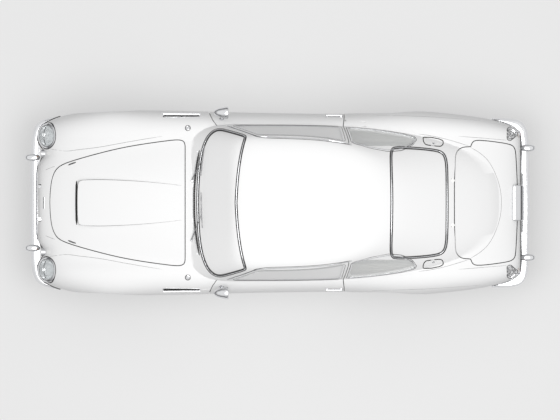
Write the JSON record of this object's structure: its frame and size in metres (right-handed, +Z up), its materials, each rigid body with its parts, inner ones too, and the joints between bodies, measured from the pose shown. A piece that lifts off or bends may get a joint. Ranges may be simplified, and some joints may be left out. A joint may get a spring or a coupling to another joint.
{
  "type": "grand tourer",
  "caption": "Two-door fastback coupe with 2+2 seats, opening doors, bonnet, boot lid and fuel flaps, steering front wheels and turning road wheels.",
  "frame": {"origin": "on the ground under the middle of the car's bounding box", "axes": "+X forward, +Y to the car's left, +Z up"},
  "size_m": [4.558, 1.724, 1.349],
  "materials": {
    "white_paint": "gloss",
    "underbody": "satin",
    "engine": "cast",
    "chrome": "polished",
    "lamp_glass": "clear",
    "amber_lens": "gloss",
    "red_lens": "gloss",
    "window_glass": "clear",
    "dash_trim": "satin",
    "hide": "grained",
    "wood_rim": "varnished",
    "steel": "brushed",
    "wheel_chrome": "polished",
    "tyre_rubber": "matt",
    "dark_metal": "satin"
  },
  "bodies": {
    "car": {"body_shell": "white_paint", "floor_pan": "underbody", "engine_block": "engine", "front_bumper": "chrome", "rear_bumper": "chrome", "grille": "chrome", "headlamps": "lamp_glass", "front_indicators": "amber_lens", "tail_lamps": "red_lens", "windscreen": "window_glass", "rear_window": "window_glass", "window_trim": "chrome", "quarter_windows": "window_glass", "wing_vents": "chrome", "dashboard": "dash_trim", "front_seats": "hide", "rear_seat": "hide", "wipers": "steel", "exhaust": "steel", "front_suspension": "dark_metal", "rear_axle": "dark_metal", "hinge_pins": "steel", "lifting_points": "dark_metal"},
    "bonnet": {"bonnet": "white_paint"},
    "boot_lid": {"boot_lid": "white_paint", "boot_handle": "chrome"},
    "left_door": {"left_door": "white_paint", "left_door_glass": "window_glass", "left_door_fittings": "chrome"},
    "right_door": {"right_door": "white_paint", "right_door_glass": "window_glass", "right_door_fittings": "chrome"},
    "left_fuel_flap": {"left_fuel_flap": "white_paint"},
    "right_fuel_flap": {"right_fuel_flap": "white_paint"},
    "steering_wheel": {"steering_wheel": "wood_rim"},
    "left_knuckle": {"left_knuckle": "dark_metal"},
    "right_knuckle": {"right_knuckle": "dark_metal"},
    "front_left_wheel": {"front_left_wheel": "wheel_chrome", "front_left_tyre": "tyre_rubber"},
    "front_right_wheel": {"front_right_wheel": "wheel_chrome", "front_right_tyre": "tyre_rubber"},
    "rear_left_wheel": {"rear_left_wheel": "wheel_chrome", "rear_left_tyre": "tyre_rubber"},
    "rear_right_wheel": {"rear_right_wheel": "wheel_chrome", "rear_right_tyre": "tyre_rubber"}
  },
  "joints": [
    {"name": "bonnet_hinge", "type": "hinge", "parent": "car", "child": "bonnet", "pos_m": [2.112, 0, 0.676], "axis": [0, 1, 0], "range_deg": [0, 55]},
    {"name": "boot_hinge", "type": "hinge", "parent": "car", "child": "boot_lid", "pos_m": [-1.512, 0, 1.006], "axis": [0, 1, 0], "range_deg": [0, 60]},
    {"name": "left_door_hinge", "type": "hinge", "parent": "car", "child": "left_door", "pos_m": [0.687, 0.78, 0.555], "axis": [0, 0, -1], "range_deg": [0, 65]},
    {"name": "right_door_hinge", "type": "hinge", "parent": "car", "child": "right_door", "pos_m": [0.687, -0.78, 0.555], "axis": [0, 0, 1], "range_deg": [0, 65]},
    {"name": "left_fuel_flap_hinge", "type": "hinge", "parent": "car", "child": "left_fuel_flap", "pos_m": [-1.3652, 0.4933, 0.9548], "axis": [0.9669, 0.117, 0.2267], "range_deg": [0, 80]},
    {"name": "right_fuel_flap_hinge", "type": "hinge", "parent": "car", "child": "right_fuel_flap", "pos_m": [-1.3652, -0.4933, 0.9548], "axis": [-0.9669, 0.117, -0.2267], "range_deg": [0, 80]},
    {"name": "left_steer", "type": "hinge", "parent": "car", "child": "left_knuckle", "pos_m": [1.508, 0.64, 0.35], "axis": [0, 0, 1], "range_deg": [-32, 32]},
    {"name": "right_steer", "type": "hinge", "parent": "car", "child": "right_knuckle", "pos_m": [1.508, -0.64, 0.35], "axis": [0, 0, 1], "range_deg": [-32, 32]},
    {"name": "steering_wheel_turn", "type": "hinge", "parent": "car", "child": "steering_wheel", "pos_m": [0.33, -0.36, 0.8], "axis": [-0.8829, 0, 0.4695], "range_deg": [-480, 480]},
    {"name": "front_left_wheel_spin", "type": "hinge", "parent": "left_knuckle", "child": "front_left_wheel", "pos_m": [1.508, 0.686, 0.35], "axis": [0, 1, 0], "continuous": true},
    {"name": "rear_left_wheel_spin", "type": "hinge", "parent": "car", "child": "rear_left_wheel", "pos_m": [-0.981, 0.68, 0.35], "axis": [0, 1, 0], "continuous": true},
    {"name": "front_right_wheel_spin", "type": "hinge", "parent": "right_knuckle", "child": "front_right_wheel", "pos_m": [1.508, -0.686, 0.35], "axis": [0, 1, 0], "continuous": true},
    {"name": "rear_right_wheel_spin", "type": "hinge", "parent": "car", "child": "rear_right_wheel", "pos_m": [-0.981, -0.68, 0.35], "axis": [0, 1, 0], "continuous": true}
  ],
  "couplings": [
    {"joint": "right_steer", "follows": "left_steer", "ratio": 1},
    {"joint": "steering_wheel_turn", "follows": "left_steer", "ratio": 15}
  ]
}
